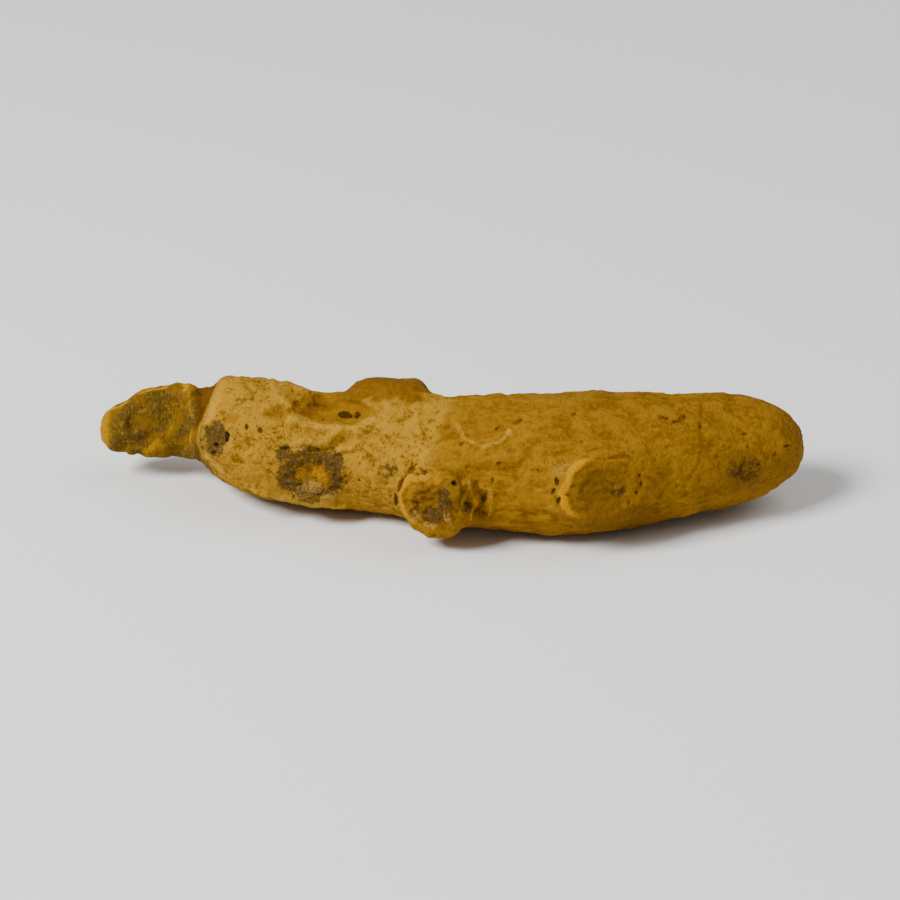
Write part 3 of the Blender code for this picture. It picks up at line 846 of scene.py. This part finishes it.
def skin_material(colours):
    """Wrinkled ochre skin: dust on its ridges, orange in its creases, cork on its scars."""
    material = bpy.data.materials.new("turmeric_skin")
    material.use_nodes = True
    bench = SkinBench(material)
    ochre, orange, dust = opaque(colours.ochre), opaque(colours.orange), opaque(colours.dust)
    cork, ash, olive = opaque(colours.cork), opaque(colours.ash), opaque(colours.olive)
    amber, umber, russet = opaque(colours.amber), opaque(colours.umber), opaque(colours.russet)

    ridge, smooth, dusty_side = bench.painted("ridge"), bench.painted("amber"), bench.painted("dust")
    broad, patch = bench.mottle(5.0, 2.0), bench.mottle(1.9, 4.0, 0.62, 0.5, 1.5)
    fine, grain = bench.mottle(0.52, 4.0, 0.66, 0.15), bench.mottle(0.20, 2.0, 0.65)
    streak = bench.mottle(0.75, 4.0, 0.65, 0.1, 7.0)
    crinkle = abs(bench.mottle(0.95, 3.0, 0.60, 0.4, 1.3) - 0.5) * 2.0
    fibre = bench.mottle(0.60, 4.0, 0.65, 0.6, 0.45)

    height = (ridge - 0.5) * 0.7 + (crinkle - 0.18) * 0.25 + (fine - 0.5) * (1.0 + 0.8 * dusty_side)
    height = height + (patch - 0.5) * 0.9 + (streak - 0.5) * (1.1 - 1.0 * dusty_side)
    height = height + (grain - 0.5) * 0.9
    colour = bench.mix(height.between(-0.42, 0.36), orange, ochre)
    blotch = (broad - 0.5) * 1.5 + (patch - 0.5) * 1.4
    colour = bench.mix(blotch.between(0.0, 0.45) * (0.42 - 0.42 * dusty_side), colour, umber)
    dusting = dusty_side * (height + (patch - 0.5) * 0.5 + dusty_side * 0.28).between(-0.24, 0.28)
    colour = bench.mix(dusting, colour, dust)
    # Pale dust with a painted highlight on the folds' tops and the head's edge.
    colour = bench.mix(bench.blotches("crest", 0.5) * 0.5, colour, opaque(colours.crest))
    flecks = bench.mottle(1.0, 3.0, 0.6, 1.2, 1.6).between(0.60, 0.70) * broad.between(0.38, 0.6)
    colour = bench.mix(flecks * 0.5, colour, russet)

    rubbed = smooth * (0.5 + (fine - 0.5) * 2.2 + 0.35).between(0.0, 1.0)
    colour = bench.mix(rubbed, colour, bench.mix(patch.between(0.40, 0.60), orange, amber))
    stain = bench.painted("stain") * (fine - 0.5 + grain).between(0.15, 0.75)
    colour = bench.mix(stain, colour, olive)
    # Brown on the scars' faces, and painted shade on the bump on top and below the broad knob.
    brown = bench.mix(fine.between(0.38, 0.60), umber, orange)
    colour = bench.mix(bench.blotches("brown", 0.3) * 0.8, colour, brown)
    corky = bench.blotches("cork", 1.4)
    bark = bench.mix((crinkle * 0.6 + fine + grain * 0.4).between(0.66, 1.10) * 0.6, cork, ash)
    colour = bench.mix(corky * 0.9, colour, bark)
    ashy = bench.mix(grain.between(0.4, 0.6), ash, dust)
    colour = bench.mix(bench.blotches("ash", 1.6, 0.40) * 0.85, colour, ashy)
    colour = bench.mix(bench.blotches("bright", 0.8) * 0.9, colour, opaque(colours.bright))

    snapped = bench.mix((fibre + crinkle * 0.5).between(0.50, 0.78), olive, opaque(colours.moss))
    snapped = bench.mix(patch.between(0.47, 0.63) * 0.60, snapped, amber)
    broken = bench.painted("broken")
    colour = bench.mix(broken * 0.95, colour, snapped)
    # Yellow rims and ridges, partly a painted highlight.
    colour = bench.mix(bench.blotches("glow", 0.55) * 0.9, colour, opaque(colours.yellow))
    # Painted shade in the neck.
    shaded = bench.mix(0.30, umber, opaque(colours.pit_and_shade))
    colour = bench.mix(bench.painted("shade") * 0.9, colour, shaded)
    colour = bench.mix(bench.blotches("russet", 0.8, 0.5) * 0.8, colour, russet)
    # Dark pits and cracks, with painted shade in creases, furrows and ring grooves.
    crevice = bench.blotches("crevice", 0.6, 0.4)
    colour = bench.mix(crevice * 0.85, colour, opaque(colours.pit_and_shade))

    shader = material.node_tree.nodes["Principled BSDF"]
    link = material.node_tree.links.new
    link(colour.output, shader.inputs["Base Color"])
    roughness = 0.96 - 0.15 * rubbed - 0.12 * grain + 0.04 * dusting
    link(roughness.output, shader.inputs["Roughness"])
    relief = crinkle * 0.18 + fine * 0.65 + 0.26 * grain + 0.45 * patch - 0.2 * flecks
    relief = relief * (1 - 0.4 * smooth) * (0.50 + 0.50 * dusty_side)
    relief = relief + 1.2 * corky * fibre + 0.8 * broken * fibre - 0.35 * crevice
    bumped = bench.add(
        "ShaderNodeBump", None, {"Height": relief, "Distance": 0.65 * MM, "Strength": 1.0}, "Normal"
    )
    link(bumped.output, shader.inputs["Normal"])
    shader.inputs["Specular IOR Level"].default_value = 0.08
    return material


def opaque(colour):
    """A colour setting as a socket's colour."""
    return (*colour, 1.0)


class TurmericSkinSizes(PropertyGroup):
    """Sizes of the skin's relief."""

    form_grain: FloatProperty(
        name="Form grain", description="Mesh size for the knobs and the stub",
        default=0.42 * MM, unit="LENGTH",
    )
    skin_grain: FloatProperty(
        name="Skin grain", description="Mesh size of the finished skin",
        default=0.243 * MM, unit="LENGTH",
    )
    unevenness: FloatProperty(
        name="Unevenness", description="How uneven the root dried, 1 as the real one", default=0.8
    )
    wrinkle_spacing: FloatProperty(
        name="Wrinkle spacing", description="Distance between the crinkles",
        default=1.25 * MM, unit="LENGTH",
    )
    wrinkle_depth: FloatProperty(
        name="Wrinkle depth", description="Depth of the crinkles",
        default=0.32 * MM, unit="LENGTH",
    )
    pit_count: IntProperty(name="Pits", description="How many small pits prick the skin", default=190)
    pit_seed: IntProperty(name="Pit seed", description="Draw of the places of the pits", default=4)
    rootlet_count: IntProperty(
        name="Rootlet marks", description="How many ring marks of rootlets there are", default=9
    )


def colour_setting(name, description, value):
    """A colour that a user may change."""
    return FloatVectorProperty(
        name=name, description=description, default=value, subtype="COLOR", size=3, min=0.0, max=1.0
    )


class TurmericSkinColours(PropertyGroup):
    """Colours of the skin."""

    ochre: colour_setting("Ochre", "The clean skin", (0.262, 0.121, 0.0035))
    orange: colour_setting("Orange", "The skin in its creases", (0.185, 0.079, 0.0022))
    amber: colour_setting("Amber", "The rubbed skin", (0.250, 0.113, 0.0015))
    bright: colour_setting("Bright", "The bright orange spots on the scars", (0.370, 0.158, 0.0015))
    # Umber is also mixed into the painted shade of the neck and into the brown paint.
    umber: colour_setting("Umber", "The darker blotches", (0.128, 0.056, 0.0030))
    dust: colour_setting("Dust", "The pale dust on the ridges", (0.408, 0.211, 0.0155))
    # Crest is pale dust and also the painted highlight on the folds and the head's edge.
    crest: colour_setting("Crest", "The palest dust, on the folds", (0.540, 0.300, 0.0270))
    cork: colour_setting("Cork", "The brown of the scars", (0.120, 0.065, 0.0120))
    ash: colour_setting("Ash", "The grey of the scars", (0.300, 0.200, 0.0750))
    olive: colour_setting("Olive", "The dark of the broken face and of stains", (0.112, 0.064, 0.0095))
    moss: colour_setting("Moss", "The lighter fibres of the broken face", (0.270, 0.155, 0.0110))
    # Yellow is also the painted highlight on the rims and the stub's ridges.
    yellow: colour_setting("Yellow", "The bright rims", (0.475, 0.217, 0.0010))
    russet: colour_setting("Russet", "The reddish flecks", (0.145, 0.050, 0.006))
    # Pit is also the painted shade in creases, furrows and the neck.
    pit_and_shade: colour_setting("Pit", "The inside of pits and cracks", (0.060, 0.025, 0.0035))


class TurmericStudio(PropertyGroup):
    """The floor, the lights and the view."""

    floor_colour: colour_setting("Floor", "The pale floor", (0.88, 0.88, 0.87))
    view_width: FloatProperty(
        name="View width", description="Width that the camera takes in at the root",
        default=0.108, unit="LENGTH",
    )
    key_power: FloatProperty(
        name="Key light", description="Power of the main soft light, in watts", default=7.4
    )
    fill_power: FloatProperty(
        name="Fill light", description="Power of the light opposite, in watts", default=2.0
    )
    sky_strength: FloatProperty(
        name="Sky", description="Strength of the even light all round", default=0.21
    )


class TURMERIC_OT_grow_root(Operator):
    """Grow the root's skin over its solid, with its knobs, scars, stub and material"""

    bl_idname = "turmeric.grow_root"
    bl_label = "Grow Root"

    def execute(self, context):
        noise.seed_set(WANDER_SEED)
        sizes = context.scene.turmeric_sizes
        form = close_mesh("root_form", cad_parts[SOLID], sizes.form_grain / MM)
        shaped = FineMesh(form.data)
        soften(shaped, 2)
        grow_unevenly(shaped, sizes.unevenness)
        places = scar_places(shaped)
        sharpen_knobs(shaped, places)
        dent_hollow(shaped)
        steepen_bump(shaped)
        snap_stub(shaped)
        root = close_mesh("dried_root", form, sizes.skin_grain / MM)
        bpy.data.objects.remove(form, do_unlink=True)
        fine = FineMesh(root.data)
        soften(fine, 2)
        wrinkle_skin(fine, sizes, scar_places(fine))
        mark_skin(fine)
        pit_skin(fine, sizes)
        dust_and_break(fine)
        fine.save_paint()
        root.data.materials.clear()
        root.data.materials.append(skin_material(context.scene.turmeric_colours))
        root.data.shade_smooth()
        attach(root, "root")
        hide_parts(SOLID)
        return {"FINISHED"}


def floor_mesh():
    """A pale floor that sweeps up behind into a backdrop."""
    mesh = bpy.data.meshes.new("floor")
    sheet = bmesh.new()
    near, far, radius, top, half_width = -1.2, 0.9, 0.5, 1.6, 2.2
    profile = [(near, 0.0), (far, 0.0)]
    for step in range(1, 13):
        turn = math.pi / 2 * step / 12
        profile.append((far + radius * math.sin(turn), radius * (1 - math.cos(turn))))
    profile.append((far + radius, top))
    rows = [
        [sheet.verts.new((side * half_width, back, up)) for back, up in profile] for side in (-1, 1)
    ]
    for i in range(len(profile) - 1):
        sheet.faces.new((rows[0][i], rows[1][i], rows[1][i + 1], rows[0][i + 1]))
    sheet.to_mesh(mesh)
    sheet.free()
    mesh.shade_smooth()
    return mesh


def add_light(name, place, aim, size, power):
    """A soft square light at a place, facing the aim. Lengths are in metres."""
    light = bpy.data.lights.new(name, "AREA")
    light.shape = "SQUARE"
    light.size = size
    light.energy = power
    lamp = bpy.data.objects.new(name, light)
    bpy.context.scene.collection.objects.link(lamp)
    lamp.location = place
    lamp.rotation_mode = "QUATERNION"
    lamp.rotation_quaternion = (Vector(aim) - Vector(place)).to_track_quat("-Z", "Y")


class TURMERIC_OT_set_studio(Operator):
    """Set the pale floor, the soft lights and the camera"""

    bl_idname = "turmeric.set_studio"
    bl_label = "Set Studio"

    def execute(self, context):
        studio = context.scene.turmeric_studio
        floor = bpy.data.objects.new("floor", floor_mesh())
        context.scene.collection.objects.link(floor)
        plain = bpy.data.materials.new("pale_floor")
        plain.use_nodes = True
        shader = plain.node_tree.nodes["Principled BSDF"]
        shader.inputs["Base Color"].default_value = opaque(studio.floor_colour)
        shader.inputs["Roughness"].default_value = 0.9
        floor.data.materials.append(plain)
        middle = Vector(MIDDLE) * MM
        add_light("key", KEY_PLACE, middle, KEY_SIZE, studio.key_power)
        add_light("fill", FILL_PLACE, middle, FILL_SIZE, studio.fill_power)
        world = bpy.data.worlds.new("studio_sky")
        world.use_nodes = True
        sky = world.node_tree.nodes["Background"].inputs
        sky["Color"].default_value = (1.0, 0.99, 0.97, 1.0)
        sky["Strength"].default_value = studio.sky_strength
        context.scene.world = world
        camera = bpy.data.objects.new("camera", bpy.data.cameras.new("camera"))
        context.scene.collection.objects.link(camera)
        camera.location = middle + Vector(VIEW_BACK) * VIEW_DISTANCE * MM
        camera.rotation_mode = "QUATERNION"
        camera.rotation_quaternion = (-Vector(VIEW_BACK)).to_track_quat("-Z", "Y")
        camera.data.angle = 2 * math.atan(studio.view_width / 2 / (VIEW_DISTANCE * MM))
        camera.data.clip_start = 0.02
        context.scene.camera = camera
        return {"FINISHED"}


class TURMERIC_PT_root(Panel):
    """Lists the settings and the steps of the root"""

    bl_idname = "TURMERIC_PT_root"
    bl_label = "Dried Turmeric Root"
    bl_space_type = "VIEW_3D"
    bl_region_type = "UI"
    bl_category = "Turmeric"

    def draw(self, context):
        for operator, group in PANEL_STEPS:
            box = self.layout.box()
            settings = getattr(context.scene, group)
            for name in settings.__annotations__:
                box.prop(settings, name)
            if operator:
                box.operator(operator)


PANEL_STEPS = (
    ("turmeric.grow_root", "turmeric_sizes"),
    (None, "turmeric_colours"),
    ("turmeric.set_studio", "turmeric_studio"),
)
GROUPS = {
    "turmeric_sizes": TurmericSkinSizes,
    "turmeric_colours": TurmericSkinColours,
    "turmeric_studio": TurmericStudio,
}
CLASSES = (*GROUPS.values(), TURMERIC_OT_grow_root, TURMERIC_OT_set_studio, TURMERIC_PT_root)


def register():
    """Registers the classes and adds their settings to the scene."""
    for kind in CLASSES:
        bpy.utils.register_class(kind)
    for name, group in GROUPS.items():
        setattr(bpy.types.Scene, name, PointerProperty(type=group))


def unregister():
    """Removes the settings and the classes."""
    for name in GROUPS:
        delattr(bpy.types.Scene, name)
    for kind in reversed(CLASSES):
        bpy.utils.unregister_class(kind)


def main():
    """Makes the root and its studio."""
    register()
    bpy.ops.turmeric.grow_root()
    bpy.ops.turmeric.set_studio()


if __name__ == "__main__":
    main()
